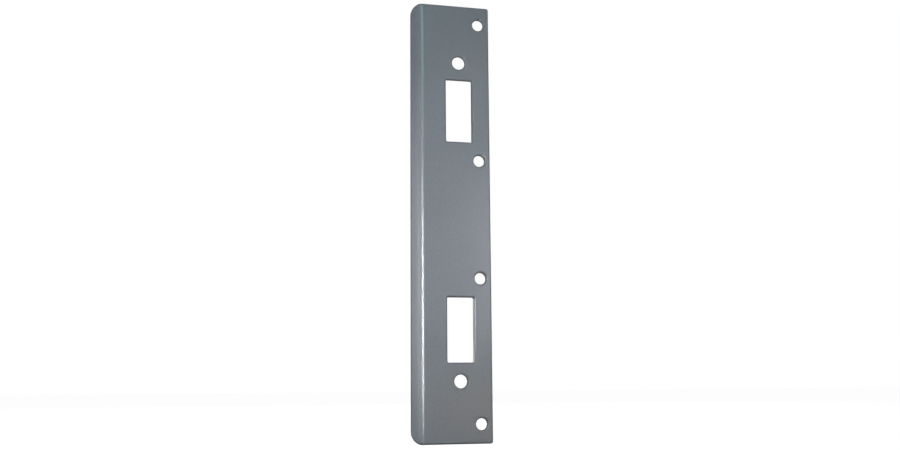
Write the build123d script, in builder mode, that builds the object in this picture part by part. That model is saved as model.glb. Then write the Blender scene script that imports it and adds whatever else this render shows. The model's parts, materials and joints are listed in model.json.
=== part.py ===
from build123d import *

import os

# Door strike plate: one painted steel sheet with two bolt windows, six round holes
# and a lip folded back along one side.
#
# The plate stands upright, as it is fitted to a door frame. Its rear face, which
# lies on the frame, is the plane y = 0, and its front face looks towards -Y. The
# origin is half way up the plate, on the line that the bolts come in on. +Z runs up
# the door edge and +X points to the plate's free edge. The lip is on the -X side and
# leans back towards +Y, round the corner of the frame.

# The sheet, in millimetres
PLATE_LENGTH = 279.4
SHEET_THICKNESS = 2.8
FACE_WIDTH = 43.1  # flat face, from the free edge to the start of the bend

# The lip along one side
LIP_ANGLE = 40  # degrees that the lip leans back from the face
BEND_INNER_RADIUS = 5.3  # on the rear side of the sheet
LIP_FLAT_WIDTH = 4.5  # straight stretch from the bend to the lip's edge
LIP_CORNER_RADIUS = 8.0

# The two windows that the bolts go through
WINDOW_SPACING = 139.7  # from the middle of one bolt to the middle of the other
WINDOW_WIDTH = 16.9
WINDOW_HEIGHT = 40.3
WINDOW_CORNER_RADIUS = 0.8
BOLT_LINE_INSET = 20.3  # from the free edge to the middle of the windows

# Four screw holes in a row beside the free edge
SCREW_HOLE_DIAMETER = 7.2
SCREW_LINE_INSET = 7.2  # from the free edge to the middle of the holes
END_TO_OUTER_SCREW = 11.9  # from each end of the plate
WINDOW_TO_INNER_SCREW = 12.0  # from the inner end of each window

# Two larger anchor holes on the bolt line, beyond the windows
ANCHOR_HOLE_DIAMETER = 8.4
WINDOW_TO_ANCHOR = 11.6  # from the outer end of each window

# Blanking drags the edges round where the punch goes in, and the burr that it leaves on
# the rear side is filed off
FRONT_EDGE_RADIUS = 1.4
REAR_EDGE_CHAMFER = 0.35

# Places that follow from the sizes, with x measured from the bolt line
free_edge_x = BOLT_LINE_INSET
bend_x = free_edge_x - FACE_WIDTH
screw_line_x = free_edge_x - SCREW_LINE_INSET
outer_screw_z = PLATE_LENGTH / 2 - END_TO_OUTER_SCREW
inner_screw_z = (WINDOW_SPACING - WINDOW_HEIGHT) / 2 - WINDOW_TO_INNER_SCREW
anchor_z = (WINDOW_SPACING + WINDOW_HEIGHT) / 2 + WINDOW_TO_ANCHOR
screw_places = [(screw_line_x, end * z) for z in (inner_screw_z, outer_screw_z) for end in (-1, 1)]

# Two points closer than this count as one
SAME_PLACE = 0.001

# The rear side of the folded sheet, seen from above: flat face, bend and lip
with BuildLine(Plane.XY) as rear_side:
    flat = Line((free_edge_x, 0), (bend_x, 0))
    bend = JernArc(flat @ 1, flat % 1, BEND_INNER_RADIUS, -LIP_ANGLE)
    lip = Line(bend @ 1, bend @ 1 + (bend % 1) * LIP_FLAT_WIDTH)

# Planes on the rear side of the face and of the lip. On both, y runs up the plate, and
# on the lip's, x runs from the lip's edge back to the bend.
face_plane = Plane.XZ
into_lip = (lip % 1) * -1
lip_plane = Plane(origin=lip @ 1, x_dir=into_lip, z_dir=into_lip.cross(Vector(0, 0, 1)))


def skin_rims(sheet, depth):
    """Edges around the skin that lies this deep in front of the sheet's rear side.

    A skin is three smooth faces: flat face, bend and lip. Each bend line belongs to
    two of them and is left out, so what stays is the sheet's outline and the rims of
    its openings.
    """

    def is_in_skin(face):
        middle = face.position_at(0.5, 0.5)
        measured = rear_side.line.distance_to(Vector(middle.X, middle.Y, 0))
        return abs(measured - depth) < SAME_PLACE

    edges = [edge for face in sheet.faces().filter_by(is_in_skin) for edge in face.edges()]
    return [edge for edge in edges if sum(edge.is_same(other) for other in edges) == 1]


with BuildPart() as strike_plate:
    # The folded sheet, carried up and down from the middle of the plate
    with BuildSketch(Plane.XY):
        with BuildLine():
            add(rear_side.line)
            offset(amount=SHEET_THICKNESS, side=Side.LEFT)
        make_face()
    extrude(amount=PLATE_LENGTH / 2, both=True)

    # The lip's two corners are cut round: a square at each corner, less a quarter
    # circle, goes right through the lip and into the bend beside it
    with BuildSketch(lip_plane):
        for end in (-1, 1):
            end_z = end * PLATE_LENGTH / 2
            with Locations((0, end_z)):
                Rectangle(2 * LIP_CORNER_RADIUS, 2 * LIP_CORNER_RADIUS)
            with Locations((LIP_CORNER_RADIUS, end_z - end * LIP_CORNER_RADIUS)):
                Circle(LIP_CORNER_RADIUS, mode=Mode.SUBTRACT)
    extrude(amount=SHEET_THICKNESS + LIP_CORNER_RADIUS, both=True, mode=Mode.SUBTRACT)

    # Windows for the bolts
    with BuildSketch(face_plane):
        with GridLocations(0, WINDOW_SPACING, 1, 2):
            RectangleRounded(WINDOW_WIDTH, WINDOW_HEIGHT, WINDOW_CORNER_RADIUS)
    extrude(amount=SHEET_THICKNESS, mode=Mode.SUBTRACT)

    # Screw holes and anchor holes
    with BuildSketch(face_plane):
        with Locations(*screw_places):
            Circle(SCREW_HOLE_DIAMETER / 2)
        with GridLocations(0, 2 * anchor_z, 1, 2):
            Circle(ANCHOR_HOLE_DIAMETER / 2)
    extrude(amount=SHEET_THICKNESS, mode=Mode.SUBTRACT)

    # Broken edges, all round the outline and every opening
    fillet(skin_rims(strike_plate, SHEET_THICKNESS), FRONT_EDGE_RADIUS)
    chamfer(skin_rims(strike_plate, 0), REAR_EDGE_CHAMFER)

strike_plate.part.label = "strike_plate"

os.makedirs("parts", exist_ok=True)
export_step(strike_plate.part, "parts/strike_plate.step")
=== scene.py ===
# %% [markdown]
# # A folded strike plate
# A strike plate is the steel plate on a door frame that the bolts of the lock slide
# into. This one is a single sheet: blanked flat, punched, folded along one side into
# a lip, and sprayed silver grey. Everything that can be seen of it is one surface,
# so the whole lesson builds one mesh and one paint, then lights and photographs it.
#
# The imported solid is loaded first. It holds the real sizes and stays where it is,
# and what is built here has to fit inside it.

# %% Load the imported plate
import json

import bpy
import numpy as np
from mathutils import Matrix, Vector


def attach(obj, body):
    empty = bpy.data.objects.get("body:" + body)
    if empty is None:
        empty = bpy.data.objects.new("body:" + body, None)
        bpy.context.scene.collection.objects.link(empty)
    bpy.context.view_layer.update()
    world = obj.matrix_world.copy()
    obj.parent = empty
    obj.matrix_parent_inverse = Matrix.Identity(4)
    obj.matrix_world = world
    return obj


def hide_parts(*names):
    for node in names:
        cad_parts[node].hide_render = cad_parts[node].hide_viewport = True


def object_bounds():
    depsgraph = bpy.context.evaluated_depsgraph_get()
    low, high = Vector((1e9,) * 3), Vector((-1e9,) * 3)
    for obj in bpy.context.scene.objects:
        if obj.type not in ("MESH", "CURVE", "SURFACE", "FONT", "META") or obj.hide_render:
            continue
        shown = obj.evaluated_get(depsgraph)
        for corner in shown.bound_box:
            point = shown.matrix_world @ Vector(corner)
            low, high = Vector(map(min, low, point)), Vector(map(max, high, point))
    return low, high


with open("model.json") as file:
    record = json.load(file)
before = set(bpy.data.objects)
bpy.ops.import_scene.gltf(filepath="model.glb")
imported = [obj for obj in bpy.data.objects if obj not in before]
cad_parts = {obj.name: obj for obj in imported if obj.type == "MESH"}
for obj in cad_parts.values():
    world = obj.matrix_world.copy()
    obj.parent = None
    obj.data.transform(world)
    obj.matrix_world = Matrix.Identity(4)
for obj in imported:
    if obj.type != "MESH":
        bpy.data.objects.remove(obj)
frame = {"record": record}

cad_low, cad_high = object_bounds()
print("solid plate, lowest corner", tuple(cad_low), "highest corner", tuple(cad_high))

# %% [markdown]
# ## Sizes
# A plate like this is drawn from its free edge, where the screw holes are, and from
# the line that the bolts come in on, which is x = 0 here. Most sizes can be read off
# the solid and off the mounts that its record lists. The rest are written out once:
# where the bend starts, the lip's angle and sizes, the windows, which no mount gives a
# size for, and how far the edges and corners are rounded.

# %% Read the sizes
MM = 0.001
mounts = {mount["name"]: mount for mount in frame["record"]["mounts"]}


def hole_sizes(name):
    """Place across, height above the middle and radius of a pair of round holes, in metres."""
    mount = mounts[name]
    return mount["pos_m"][0], mount["dims"]["spacing_y_mm"] / 2 * MM, mount["dims"]["hole_r_mm"] * MM


half_length = cad_high.z
free_edge_x = cad_high.x
thickness = -cad_low.y  # the rear face is the plane y = 0
bend_x = -22.8 * MM  # where the flat face ends
lip_angle = np.radians(40)
bend_inner = 5.3 * MM
bend_outer = bend_inner + thickness
lip_flat = 4.5 * MM
lip_corner = 8.0 * MM
free_corner = 1.5 * MM  # a little rounding on the two corners of the free edge
window_z = mounts["upper_bolt_window"]["pos_m"][2]
window_half = np.array([16.9, 40.3]) / 2 * MM
window_corner = 0.8 * MM
inner_x, inner_z, inner_r = hole_sizes("inner_screws")
outer_x, outer_z, outer_r = hole_sizes("outer_screws")
anchor_x, anchor_z, anchor_r = hole_sizes("anchor_holes")
front_round = 1.4 * MM
rear_round = 0.6 * MM
print(f"plate {2 * half_length / MM:.1f} long, sheet {thickness / MM:.2f} thick, in mm")

# %% [markdown]
# ## Folding the blank
# The sheet was flat before it was folded, and flat is the easy way to draw it. A point
# on the blank has a place u across, a height z and a depth behind the front skin.
# One function then folds any such point, so the holes, the rounded edges and the
# lip's corners all follow the bend by themselves. The same function turns the
# normals, which makes the shading of the bend exact however few faces it has.

# %% The fold
lip_edge_u = bend_x - (bend_outer * lip_angle + lip_flat)


def turn_at(u):
    """Angle that the sheet has turned through at u: distance past the bend line over the outer radius."""
    return np.clip((bend_x - u) / bend_outer, 0, lip_angle)


def fold(u, z, depth):
    """Carries points of the blank onto the folded plate.

    Past the bend line a point at some depth goes round a circle of the outer radius less
    that depth, through the angle turn_at(u). What is left of its distance runs straight on
    along the lip. The circle's centre is on the bend line, behind the rear face by the inner
    radius.
    """
    turn = turn_at(u)
    straight = np.clip(bend_x - u, 0, None) - turn * bend_outer
    radius = bend_outer - depth
    x = np.maximum(u, bend_x) - radius * np.sin(turn) - straight * np.cos(turn)
    y = bend_inner - radius * np.cos(turn) + straight * np.sin(turn)
    return np.stack([x, y, z + 0 * x], axis=-1)


def fold_normal(u, out_u, out_z, front):
    """Turns a normal with parts along u, along z and out of the front skin by the sheet's own turn."""
    turn = turn_at(u)
    x = out_u * np.cos(turn) - front * np.sin(turn)
    y = -out_u * np.sin(turn) - front * np.cos(turn)
    return np.stack([x, y, out_z + 0 * x], axis=-1)


tip = fold(np.array(lip_edge_u), np.array(0.0), np.array(0.0))
print("front corner of the lip at x, y", tip[:2] / MM, "mm")

# %% [markdown]
# ## The outline and its bands
# The flat face is cut into bands across the plate, each with one opening in it. A
# band can then be filled by a simple grid that runs from the opening's edge out to
# the band's four sides. The upper half of the plate is enough, because the lower
# half is its mirror image. All of it can be drawn at an inset, which is how far the
# skin stops short of the edge to leave room for the rounding.

# %% Bands and outline
ACROSS, UP = 32, 32  # grid steps across a band and up it
FREE_ARC, LIP_ARC = 6, 48  # steps round the corners of the free edge and of the lip
BEND_STEPS = 8  # columns from the bend line to where the lip's corner begins

band_edges = [
    0.0,
    (inner_z + inner_r + window_z - window_half[1]) / 2,
    (window_z + window_half[1] + anchor_z - anchor_r) / 2,
    (anchor_z + anchor_r + outer_z - outer_r) / 2,
    half_length,
]
last_band = len(band_edges) - 2


def steps(start, end, count):
    """Evenly spaced values from start towards end, without the end itself."""
    return np.linspace(start, end, count, endpoint=False)


def run(u, z):
    """A row of blank points, from two arrays or a number and an array."""
    u, z = np.broadcast_arrays(u, z)
    return np.stack([u, z], axis=-1).astype(float)


def quarter(centre_u, centre_z, radius, start, count):
    """Points and directions on a quarter circle that starts at an angle in degrees, without its end."""
    angle = np.radians(steps(start, start + 90, count))
    direction = np.stack([np.cos(angle), np.sin(angle)], axis=-1)
    return np.array([centre_u, centre_z]) + radius * direction, direction


def free_corner_arc(inset):
    """Points and directions round the upper corner of the free edge."""
    centre_u, centre_z = free_edge_x - free_corner, half_length - free_corner
    return quarter(centre_u, centre_z, free_corner - inset, 0, FREE_ARC)


def band_sides(band, inset):
    """The four sides of a band of the flat face, counterclockwise from its lower right corner.

    The last band's right side also goes round the plate's free corner.
    """
    low, high = band_edges[band], band_edges[band + 1]
    right_x = free_edge_x - inset
    if band < last_band:
        right = run(right_x, steps(low, high, UP))
        top = run(steps(right_x, bend_x, ACROSS), high)
    else:
        high = half_length - inset
        arc, _ = free_corner_arc(inset)
        right = np.concatenate([run(right_x, steps(low, half_length - free_corner, UP)), arc])
        top = run(steps(free_edge_x - free_corner, bend_x, ACROSS), high)
    left = run(bend_x, steps(high, low, UP))
    bottom = run(steps(bend_x, right_x, ACROSS), low)
    return np.concatenate([right, top, left, bottom]), [len(right), ACROSS, UP, ACROSS]


def heights_at_bend(inset):
    """Heights of the band sides' points on the bend line, from the middle of the plate to its end."""
    tops = band_edges[1:-1] + [half_length - inset]
    rows = [steps(low, high, UP) for low, high in zip(band_edges, tops)]
    return np.concatenate(rows + [[half_length - inset]])


def lip_columns(inset):
    """Place across and top height of each column of the bend and lip.

    The top is straight at first, then follows the lip's corner, a quarter circle that is
    the inset smaller than the sheet's own.
    """
    corner_u = lip_edge_u + lip_corner
    angle = np.linspace(0, np.pi / 2, LIP_ARC + 1)
    arc_u = corner_u - (lip_corner - inset) * np.sin(angle)
    u = np.concatenate([steps(bend_x, corner_u, BEND_STEPS), arc_u])
    arc_top = half_length - lip_corner + (lip_corner - inset) * np.cos(angle)
    top = np.concatenate([np.full(BEND_STEPS, half_length - inset), arc_top])
    return u, top


def lip_heights(inset):
    """Heights of the grid of the bend and lip: each column is the bend line's, shrunk to its own top."""
    _, top = lip_columns(inset)
    return heights_at_bend(inset)[:, None] * top / (half_length - inset)


def outline(inset):
    """Upper half of the plate's outline and its outward directions, from the free edge round to the lip's."""
    free = np.concatenate([steps(low, high, UP) for low, high in zip(band_edges, band_edges[1:-1])])
    free = np.concatenate([free, steps(band_edges[-2], half_length - free_corner, UP)])
    arc, arc_out = free_corner_arc(inset)
    end = run(steps(free_edge_x - free_corner, bend_x, ACROSS), half_length - inset)
    lip_u, lip_top = lip_columns(inset)
    lip_end = run(lip_u[:-1], lip_top[:-1])
    lip_out = np.radians(np.concatenate([np.full(BEND_STEPS, 90), steps(90, 180, LIP_ARC)]))
    edge = run(lip_edge_u + inset, lip_heights(inset)[::-1, -1])
    points = np.concatenate([run(free_edge_x - inset, free), arc, end, lip_end, edge])
    outward = np.concatenate([
        run(np.ones(len(free)), 0),
        arc_out,
        run(np.zeros(ACROSS), 1),
        run(np.cos(lip_out), np.sin(lip_out)),
        run(-np.ones(len(edge)), 0),
    ])
    return points, outward


print(len(outline(0.0)[0]), "points on the upper half of the outline")

# %% [markdown]
# ## The openings
# A round hole and a window with rounded corners are the same shape to draw: slide a
# small circle from corner to corner and keep its outer edge. A round hole's corners
# all lie in its middle. Each side of an opening gets as many points as the side of
# the band that it faces, so that the two can be joined by straight lines.

# %% Opening paths
WINDOW_CORNER_STEPS = 5


def opening(centre, half_size, radius, side_steps, corner_steps=None):
    """Points of an opening as the middle of the sliding circle and the direction out from it.

    Along each side the direction turns through 45 degrees, stays while the circle slides to
    the next corner, and turns through 45 degrees again. A round hole turns all the way.
    """
    half_u, half_z = half_size
    corners = np.array([(half_u, -half_z), (half_u, half_z), (-half_u, half_z), (-half_u, -half_z)])
    middles, directions = [], []
    for side, count in enumerate(side_steps):
        k = np.arange(count)
        turning = corner_steps or count / 2
        share = np.clip(k / turning, 0, 1) + np.clip((k - count + turning) / turning, 0, 1) - 1
        slide = np.clip((k - turning) / max(count - 2 * turning, 1), 0, 1)[:, None]
        angle = np.radians(45 * share + 90 * side)
        middles.append(np.array(centre) + corners[side] * (1 - slide) + corners[(side + 1) % 4] * slide)
        directions.append(np.stack([np.cos(angle), np.sin(angle)], axis=-1))
    return np.concatenate(middles), np.concatenate(directions), radius


def openings():
    """The opening of each band of the upper half, from the middle of the plate up."""
    counts = [band_sides(band, 0.0)[1] for band in range(len(band_edges) - 1)]
    inner_half = window_half - window_corner
    return [
        opening((inner_x, inner_z), (0, 0), inner_r, counts[0]),
        opening((0, window_z), inner_half, window_corner, counts[1], WINDOW_CORNER_STEPS),
        opening((anchor_x, anchor_z), (0, 0), anchor_r, counts[2]),
        opening((outer_x, outer_z), (0, 0), outer_r, counts[3]),
    ]


print([len(middles) for middles, _, _ in openings()], "points round the openings of the upper half")

# %% [markdown]
# ## Skins and rims
# Now the surfaces. Each one is a grid of points with a normal for every point. A band
# is a grid between two closed rows, the opening's edge and the band's sides. The bend
# and lip are a plain grid. A rim is a profile carried along a path: a quarter circle
# over the front edge, the straight wall through the sheet, and a smaller quarter
# circle at the rear. The front edge is rounder because the punch drags it down.

# %% Grids
# Shares of the way from an opening to its band's sides, close together beside the rounding
BAND_ROWS = np.array([0, 0.02, 0.07, 0.2, 0.5, 1])[:, None, None]
FRONT_STEPS, REAR_STEPS = 9, 7  # rows over the front rounding and over the rear one

patches = []


def add_patch(points, normals, closed, flip, edge=0.0):
    """Keeps a grid of points with its normals and with how far each point is round an edge, from 0 to 1.

    Flip turns its faces over, and closed joins its last column to its first.
    """
    patches.append((points, normals, closed, flip, edge + 0 * points[..., 0]))


def add_skins(inset, depth, front):
    """One whole skin of the sheet, at a depth behind the front.

    Front is 1 for the front skin and -1 for the rear.
    """
    for band, (middles, directions, radius) in enumerate(openings()):
        edge = middles + (radius + inset) * directions
        grid = edge + (band_sides(band, inset)[0] - edge) * BAND_ROWS
        normals = fold_normal(grid[..., 0], 0, 0, front)
        add_patch(fold(grid[..., 0], grid[..., 1], depth), normals, True, front < 0)
    u, _ = lip_columns(inset)
    z = lip_heights(inset)
    u = np.broadcast_to(u, z.shape)
    folded, normals = fold(u, z, depth), fold_normal(u, 0, 0, front)
    add_patch(folded.transpose(1, 0, 2), normals.transpose(1, 0, 2), False, front > 0)


def rim_profile():
    """Inset, depth and tilt of each row of a rim, from the front skin over the wall to the rear skin.

    At a tilt of a, a quarter circle of radius r is inset by r times 1 - sin a. In front it is
    r times 1 - cos a deep, and at the rear it ends r times 1 + cos a before the rear face.
    """
    over_front = np.radians(np.linspace(0, 90, FRONT_STEPS))
    over_rear = np.radians(np.linspace(90, 180, REAR_STEPS))
    inset = np.concatenate([front_round * (1 - np.sin(over_front)), rear_round * (1 - np.sin(over_rear))])
    front_depth = front_round * (1 - np.cos(over_front))
    rear_depth = thickness - rear_round * (1 + np.cos(over_rear))
    return inset, np.concatenate([front_depth, rear_depth]), np.concatenate([over_front, over_rear])


def add_rim(points, outward, depth, tilt, closed, flip):
    """A rim from its rows of blank points.

    Its normal leans from the front skin to the way out, and on to the rear. The sine of the
    lean is also how far a point is round the edge: 0 on both skins and 1 on the wall.
    """
    lean, front = np.sin(tilt)[:, None], np.cos(tilt)[:, None]
    normals = fold_normal(points[..., 0], lean * outward[:, 0], lean * outward[:, 1], front)
    add_patch(fold(points[..., 0], points[..., 1], depth[:, None]), normals, closed, flip, lean)


add_skins(front_round, 0.0, 1)
add_skins(rear_round, thickness, -1)
rim_inset, rim_depth, rim_tilt = rim_profile()
outer_rows = np.stack([outline(inset)[0] for inset in rim_inset])
add_rim(outer_rows, outline(0.0)[1], rim_depth, rim_tilt, False, False)
for middles, directions, radius in openings():
    rows = middles + (radius + rim_inset)[:, None, None] * directions
    add_rim(rows, -directions, rim_depth, rim_tilt, True, True)
print(len(patches), "grids for the upper half")

# %% [markdown]
# ## One closed mesh
# The grids are laid end to end, mirrored to make the lower half, and sewn together
# where their points fall on the same place. The normals stay with the corners of the
# faces. Blender takes them as custom normals, and the flat face then shades truly
# flat right up to where each rounding starts. A surface is closed when every edge is
# used once each way, so the edges that aren't are counted before the mesh is made.

# %% Sew the grids together
SEW = 1e6  # steps to the metre: points that agree to a micrometre are one point


def grid_faces(rows, columns, closed, flip):
    """Four corner numbers for each face of a grid, counterclockwise seen from its outer side."""
    index = np.arange(rows * columns).reshape(rows, columns)
    if closed:
        index = np.concatenate([index, index[:, :1]], axis=1)
    quads = np.stack([index[:-1, :-1], index[1:, :-1], index[1:, 1:], index[:-1, 1:]], axis=-1).reshape(-1, 4)
    return quads[:, ::-1] if flip else quads


def sew():
    """Joins all grids and their mirror images into one mesh.

    Gives its points, its faces, a normal for each corner of each face and the points' edge
    values.
    """
    all_points, all_normals, all_faces, all_edge, start = [], [], [], [], 0
    for mirror in (1, -1):
        side = np.array([1, 1, mirror])
        for points, normals, closed, flip, edge in patches:
            rows, columns = points.shape[:2]
            all_points.append(points.reshape(-1, 3) * side)
            all_normals.append(normals.reshape(-1, 3) * side)
            all_edge.append(edge.ravel())
            all_faces.append(grid_faces(rows, columns, closed, flip != (mirror < 0)) + start)
            start += rows * columns
    points, normals, faces, edge = map(np.concatenate, (all_points, all_normals, all_faces, all_edge))
    places = np.round(points * SEW + 1 / 3).astype(np.int64)  # the third keeps round sizes off the halves
    _, first, sewn = np.unique(places, axis=0, return_index=True, return_inverse=True)
    return points[first], sewn.reshape(-1)[faces], normals[faces], edge[first]


def open_edges(faces):
    """How many edges aren't used exactly once each way round."""
    edges = np.stack([faces, np.roll(faces, -1, axis=1)], axis=-1).reshape(-1, 2)
    size = faces.max() + 1
    there, back = edges[:, 0] * size + edges[:, 1], edges[:, 1] * size + edges[:, 0]
    return len(np.setxor1d(there, back)) + len(there) - len(np.unique(there))


points, faces, corner_normals, edge_values = sew()
print(len(points), "points,", len(faces), "faces,", open_edges(faces), "open edges")

# %% Make the plate
mesh = bpy.data.meshes.new("strike_plate_sheet")
mesh.vertices.add(len(points))
mesh.vertices.foreach_set("co", points.ravel())
mesh.loops.add(faces.size)
mesh.loops.foreach_set("vertex_index", faces.ravel())
mesh.polygons.add(len(faces))
mesh.polygons.foreach_set("loop_start", np.arange(len(faces)) * 4)
mesh.update(calc_edges=True)
mesh.polygons.foreach_set("use_smooth", np.ones(len(faces), bool))
mesh.normals_split_custom_set(corner_normals.reshape(-1, 3))
mesh.attributes.new("edge", "FLOAT", "POINT").data.foreach_set("value", edge_values.astype(np.float32))
plate = bpy.data.objects.new("folded_plate", mesh)
bpy.context.scene.collection.objects.link(plate)
print("mesh is valid:", not mesh.validate())

# %% [markdown]
# ## The paint
# The plate is sprayed with a satin silver-grey enamel. It hides the steel, so it is
# not a metal to the shader: a grey base under a fairly tight gloss, with a little more
# shine than plain plastic has. One material is built up in layers, as a sprayer would
# see them, and each layer is read off a noise or off a place on the plate. All the
# noises use Object coordinates, so the marks stay where they are when the plate turns.

# %% An empty paint and its tools
PAINT = (0.205, 0.221, 0.248)
COAT_SHINE = 0.85  # plain plastic has 0.5
CLOUD, TINT, WEAR, PEEL, GRAIN = 28, 170, 240, 900, 1300  # clouds of each noise to the metre
NOISE_LOW, NOISE_HIGH = 0.3, 0.7  # nearly all of a noise lies between these

paint = bpy.data.materials.new("silver_grey_enamel")
paint.use_nodes = True
nodes, links = paint.node_tree.nodes, paint.node_tree.links
shader = nodes["Principled BSDF"]
shader.inputs["Specular IOR Level"].default_value = COAT_SHINE
place = nodes.new("ShaderNodeTexCoord").outputs["Object"]


def noise(fineness, detail):
    """A cloudy value about 0.5, with its number of clouds to the metre."""
    texture = nodes.new("ShaderNodeTexNoise")
    texture.inputs["Scale"].default_value = fineness
    texture.inputs["Detail"].default_value = detail
    links.new(place, texture.inputs["Vector"])
    return texture.outputs["Fac"]


def stretch(value, start, end, to_start, to_end):
    """Moves the values from start to end onto a new range, and holds them there beyond both."""
    ramp = nodes.new("ShaderNodeMapRange")
    ramp.inputs["From Min"].default_value = start
    ramp.inputs["From Max"].default_value = end
    ramp.inputs["To Min"].default_value = to_start
    ramp.inputs["To Max"].default_value = to_end
    links.new(value, ramp.inputs["Value"])
    return ramp.outputs["Result"]


def times(first, second):
    """Product of two values."""
    product = nodes.new("ShaderNodeMath")
    product.operation = "MULTIPLY"
    links.new(first, product.inputs[0])
    links.new(second, product.inputs[1])
    return product.outputs["Value"]


def mix(share, first, second):
    """Colour that goes from the first to the second with the share.

    Each colour is a socket or three numbers.
    """
    blend = nodes.new("ShaderNodeMix")
    blend.data_type = "RGBA"
    links.new(share, blend.inputs["Factor"])
    for socket, colour in zip((blend.inputs[6], blend.inputs[7]), (first, second)):
        if isinstance(colour, tuple):
            socket.default_value = (*colour, 1)
        else:
            links.new(colour, socket)
    return blend.outputs[2]


def shaded(colour, tone):
    """A colour made lighter or darker by a value near 1."""
    scale = nodes.new("ShaderNodeVectorMath")
    scale.operation = "SCALE"
    links.new(colour, scale.inputs[0])
    links.new(tone, scale.inputs["Scale"])
    return scale.outputs["Vector"]


print("paint", PAINT)

# %% [markdown]
# ## Cloud, tint and grain
# Spray never lies quite even. A slow cloud, a few centimetres across, makes the coat up
# to two percent lighter or darker. The silver flakes in the paint drift, so that patches
# a few millimetres wide lean to green or to purple. The flakes themselves are too small
# to see one by one and show as a fine grain.

# %% The colour of the coat
greenish = tuple(share * c for share, c in zip((0.985, 1.006, 1.0), PAINT))
purplish = tuple(share * c for share, c in zip((1.015, 0.994, 1.0), PAINT))
cloud = noise(CLOUD, 5)
coat = mix(stretch(noise(TINT, 2), 0.4, 0.6, 0, 1), greenish, purplish)
grain = stretch(noise(GRAIN, 1), NOISE_LOW, NOISE_HIGH, 0.95, 1.05)
coat = shaded(coat, times(stretch(cloud, NOISE_LOW, NOISE_HIGH, 0.98, 1.02), grain))
print("two tints of the coat", greenish, purplish)

# %% [markdown]
# ## Wear, painted light and painted shade
# Paint draws back from a sharp edge while it is wet, and hands and tools rub it there
# later, so the edges are a little darker and duller. The darker edges are partly that
# wear and partly painted shade. The mesh carries how far round an edge each point is,
# and a noise breaks that up. The darkening is strongest at the foot of the plate and
# nearly gone at the top, which is painted shade for the rims that face down low on the
# plate. The right wall of the lower window is painted light grey, lightest at its top:
# painted light for the light that this wall catches. The same wall of the upper window
# keeps its coat. A small dark spot is painted on the rim of the topmost hole.

# %% Edges, painted light on a wall and a dark spot
edge_node = nodes.new("ShaderNodeAttribute")
edge_node.attribute_name = "edge"
round_edge = edge_node.outputs["Fac"]
split = nodes.new("ShaderNodeSeparateXYZ")
links.new(place, split.inputs["Vector"])
x, y, z = split.outputs["X"], split.outputs["Y"], split.outputs["Z"]
# The edges' colour: partly thin, worn paint and partly painted shade
EDGE_WEAR_AND_SHADE = tuple(0.28 * c for c in PAINT)
# Painted light: the light grey of the lower window's right wall
WALL_LIGHT_PAINT = (0.78, 0.77, 0.78)
# A small dark spot painted on the rim of the topmost hole
DARK_SPOT = (0.09, 0.09, 0.085)
dark_spot_place, dark_spot_radius = (13.3, -2.5, 131.9), 0.4  # mm


def slab(value, low, high, soft):
    """1 where the value lies between low and high, falling to 0 over a soft border outside them."""
    return times(stretch(value, low - soft, low, 0, 1), stretch(value, high, high + soft, 1, 0))


def near(spot, radius):
    """1 within the radius of a spot and 0 from twice as far away."""
    away = nodes.new("ShaderNodeVectorMath")
    away.operation = "DISTANCE"
    away.inputs[1].default_value = [c * MM for c in spot]
    links.new(place, away.inputs[0])
    return stretch(away.outputs["Value"], radius * MM, 2 * radius * MM, 1, 0)


# The roundings get the darker edge colour, and the skins (0) and walls (1) beside them do not
rounding = times(stretch(round_edge, 0.2, 0.8, 0, 1), stretch(round_edge, 0.96, 0.995, 1, 0))
thin_paint_and_shade = times(rounding, stretch(noise(WEAR, 3), 0.3, 0.6, 0.7, 1))
# Painted shade: the edge darkening is full at the foot of the plate and fades to 0.15 at the top
thin_paint_and_shade = times(thin_paint_and_shade, stretch(z, cad_low.z, cad_high.z, 1, 0.15))
coat = mix(thin_paint_and_shade, coat, EDGE_WEAR_AND_SHADE)

half_width, half_height = window_half
window_foot, window_head = -window_z - half_height, -window_z + half_height
across = slab(x, half_width - 0.3 * MM, half_width + 0.5 * MM, 0.2 * MM)
through = slab(y, -thickness + 0.65 * MM, 0.0, 0.25 * MM)
upright = slab(z, window_foot, window_head - 1.0 * MM, 0.5 * MM)
wall = times(across, times(through, upright))
# Painted light: the wall is painted lighter towards the head of the window
painted_wall_light = times(wall, stretch(z, window_foot, window_head, 0.75, 1))
coat = mix(painted_wall_light, coat, WALL_LIGHT_PAINT)
coat = mix(near(dark_spot_place, dark_spot_radius), coat, DARK_SPOT)
links.new(coat, shader.inputs["Base Color"])
print("a nick at", dark_spot_place, "and a worn wall at x", half_width / MM, "mm")

# %% [markdown]
# ## Gloss and skin
# The gloss follows the cloud of the coat, because a thicker coat flows out smoother,
# and thin paint on the edges is duller. A very shallow bump gives the skin a trace of
# orange peel, which is only just seen in the bright line along the bend.

# %% Roughness and bump
gloss = nodes.new("ShaderNodeMath")
gloss.operation = "ADD"
links.new(stretch(cloud, NOISE_LOW, NOISE_HIGH, 0.24, 0.26), gloss.inputs[0])
links.new(stretch(thin_paint_and_shade, 0, 1, 0, 0.14), gloss.inputs[1])
links.new(gloss.outputs["Value"], shader.inputs["Roughness"])
bump = nodes.new("ShaderNodeBump")
bump.inputs["Strength"].default_value = 0.012
bump.inputs["Distance"].default_value = 0.02 * MM
links.new(noise(PEEL, 3), bump.inputs["Height"])
links.new(bump.outputs["Normal"], shader.inputs["Normal"])

plate.data.materials.append(paint)
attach(plate, "root")
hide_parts("strike_plate")
print("painted", plate.name, "with", len(nodes), "nodes")

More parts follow.
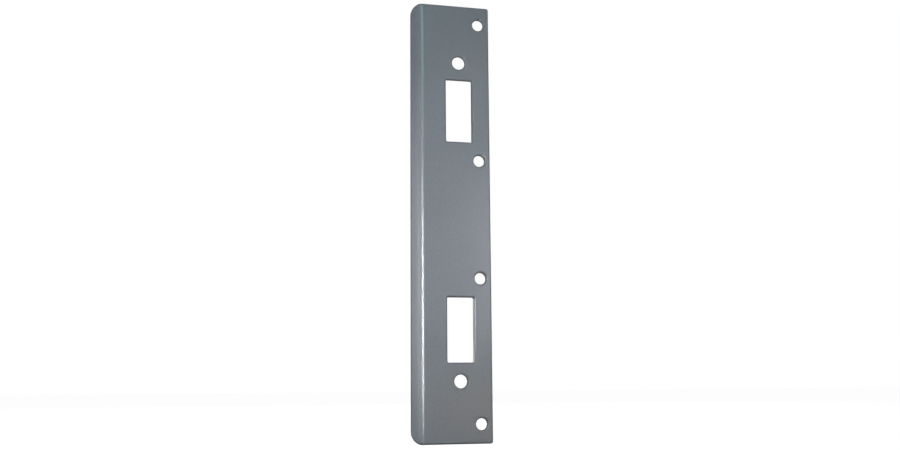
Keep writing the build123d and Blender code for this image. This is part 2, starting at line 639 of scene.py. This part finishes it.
# %% [markdown]
# ## Floor and background
# The plate stands on a wide pale floor in front of nothing, as in a catalogue. The
# background is white to the camera only. To all else, mirrored rays too, it is a faint
# even light: the coat is paint, not metal, and in the photograph its edges stay dark
# against the white. The floor adds a white glow for the camera in the same way, and its
# own shading still darkens where the plate takes the light away.

# %% Floor and world
FLOOR_HALF = 3.0  # metres
FLOOR_GREY = 0.25
FLOOR_GLOW = 0.97  # the lamps' light on the grey adds the rest up to white
AMBIENT = 0.03


def camera_only(nodes, links, strength):
    """A Light Path switch: the strength for what the camera sees straight, nothing for all else."""
    path = nodes.new("ShaderNodeLightPath")
    switch = nodes.new("ShaderNodeMath")
    switch.operation = "MULTIPLY"
    switch.inputs[1].default_value = strength
    links.new(path.outputs["Is Camera Ray"], switch.inputs[0])
    return switch.outputs[0]


def make_floor():
    """A flat square just under the plate, shaded by the lamps and lifted to white for the camera."""
    ways = [(-1, -1), (1, -1), (1, 1), (-1, 1)]
    corners = [(way_x * FLOOR_HALF, way_y * FLOOR_HALF, cad_low.z) for way_x, way_y in ways]
    mesh = bpy.data.meshes.new("floor")
    mesh.from_pydata(corners, [], [(0, 1, 2, 3)])
    floor = bpy.data.objects.new("floor", mesh)
    bpy.context.scene.collection.objects.link(floor)
    material = bpy.data.materials.new("pale_floor")
    material.use_nodes = True
    nodes, links = material.node_tree.nodes, material.node_tree.links
    nodes.remove(nodes["Principled BSDF"])
    matt = nodes.new("ShaderNodeBsdfDiffuse")
    matt.inputs["Color"].default_value = (FLOOR_GREY, FLOOR_GREY, FLOOR_GREY, 1)
    glow = nodes.new("ShaderNodeEmission")
    links.new(camera_only(nodes, links, FLOOR_GLOW), glow.inputs["Strength"])
    both = nodes.new("ShaderNodeAddShader")
    links.new(matt.outputs["BSDF"], both.inputs[0])
    links.new(glow.outputs["Emission"], both.inputs[1])
    links.new(both.outputs["Shader"], nodes["Material Output"].inputs["Surface"])
    floor.data.materials.append(material)


def make_world(ambient):
    """A world that is white to the camera and an even grey light to everything else."""
    world = bpy.data.worlds.new("studio")
    world.use_nodes = True
    nodes, links = world.node_tree.nodes, world.node_tree.links
    background = nodes["Background"]
    plus = nodes.new("ShaderNodeMath")
    plus.operation = "ADD"
    plus.inputs[1].default_value = ambient
    links.new(camera_only(nodes, links, 1 - ambient), plus.inputs[0])
    links.new(plus.outputs[0], background.inputs["Strength"])
    background.inputs["Color"].default_value = (1, 1, 1, 1)
    bpy.context.scene.world = world


make_floor()
make_world(AMBIENT)
print("floor at z", cad_low.z)

# %% [markdown]
# ## Light
# Three narrow upright lamps beside the camera, one above the other, make the bright line
# down the bend. Two wide boxes on the left light the lip, and a small one close by on the
# right lights the face, with a faint one above it. The coat looks cooler at the top of the
# plate and warmer at its foot, so a blue-green box hangs high up and a small warm one
# stands low down. The last box is behind the plate and lights the walls of the openings,
# which the camera sees at a slant.

# %% Lamps
def soft_box(name, place, size, watts, colour=(1, 1, 1), spread=180):
    """A rectangular area lamp that faces the middle of the plate and isn't seen itself.

    Its place and size are in metres, and its spread is in degrees.
    """
    lamp = bpy.data.lights.new(name, "AREA")
    lamp.shape = "RECTANGLE"
    lamp.size, lamp.size_y = size
    lamp.energy = watts
    lamp.color = colour
    lamp.spread = np.radians(spread)
    box = bpy.data.objects.new(name, lamp)
    box.location = place
    box.rotation_euler = (-Vector(place)).to_track_quat("-Z", "Y").to_euler()
    box.visible_camera = False
    bpy.context.scene.collection.objects.link(box)


soft_box("flash", (-0.10, -0.64, 0.0), (0.04, 0.20), 0.148, spread=50)
soft_box("flash_below", (-0.08, -0.64, -0.10), (0.04, 0.16), 0.014, spread=50)
soft_box("flash_above", (-0.10, -0.64, 0.30), (0.04, 0.50), 0.024, spread=50)
soft_box("left", (-0.33, -0.48, 0.0), (0.42, 0.25), 0.62)
soft_box("far_left", (-0.80, -0.45, 0.05), (0.70, 0.40), 1.37)
soft_box("right", (0.16, -0.25, 0.0), (0.15, 0.15), 0.148)
soft_box("right_above", (0.12, -0.22, 0.12), (0.12, 0.12), 0.008)
soft_box("cool_top", (-0.10, -0.80, 0.50), (0.35, 0.35), 0.527, (0.05, 0.88, 1))
soft_box("warm_low", (0.10, -0.235, -0.165), (0.12, 0.12), 0.065, (1, 0.50, 0.15))
soft_box("behind", (0.10, 1.00, 0.25), (0.50, 0.50), 3.0)

# %% [markdown]
# ## Camera
# The photograph was taken from close by, below the middle of the plate and to its
# left, so the plate leans in perspective. The camera's place, its turn, tilt and roll,
# and its focal length were worked out from where the holes, the windows and the edges
# of the plate fall in the picture.

# %% Camera
PICTURE_WIDTH = 900  # pixels
SENSOR_WIDTH = 36  # mm
camera_place = np.array([-172.9, -639.5, -100.7]) * MM
camera_turn, camera_tilt, camera_roll = np.radians([14.64, 8.335, 0.392])
focal_length = 1058.0  # pixels


def camera_axes(turn, tilt, roll):
    """Right, up and back axes of a camera that looks along +Y, turned right, tilted up, then rolled."""
    forward = np.array([np.sin(turn) * np.cos(tilt), np.cos(turn) * np.cos(tilt), np.sin(tilt)])
    level = np.array([np.cos(turn), -np.sin(turn), 0])
    down = np.cross(forward, level)
    right = level * np.cos(roll) + down * np.sin(roll)
    up = level * np.sin(roll) - down * np.cos(roll)
    return right, up, -forward


camera_data = bpy.data.cameras.new("camera")
camera_data.sensor_width = SENSOR_WIDTH
camera_data.lens = focal_length / PICTURE_WIDTH * SENSOR_WIDTH
camera_data.clip_start = 0.01
camera = bpy.data.objects.new("camera", camera_data)
camera_matrix = np.eye(4)
camera_matrix[:3, :3] = np.stack(camera_axes(camera_turn, camera_tilt, camera_roll), axis=1)
camera_matrix[:3, 3] = camera_place
camera.matrix_world = Matrix(camera_matrix.tolist())
bpy.context.scene.collection.objects.link(camera)
bpy.context.scene.camera = camera
bpy.context.scene.view_settings.view_transform = "Standard"
print(f"lens {camera_data.lens:.2f} mm")
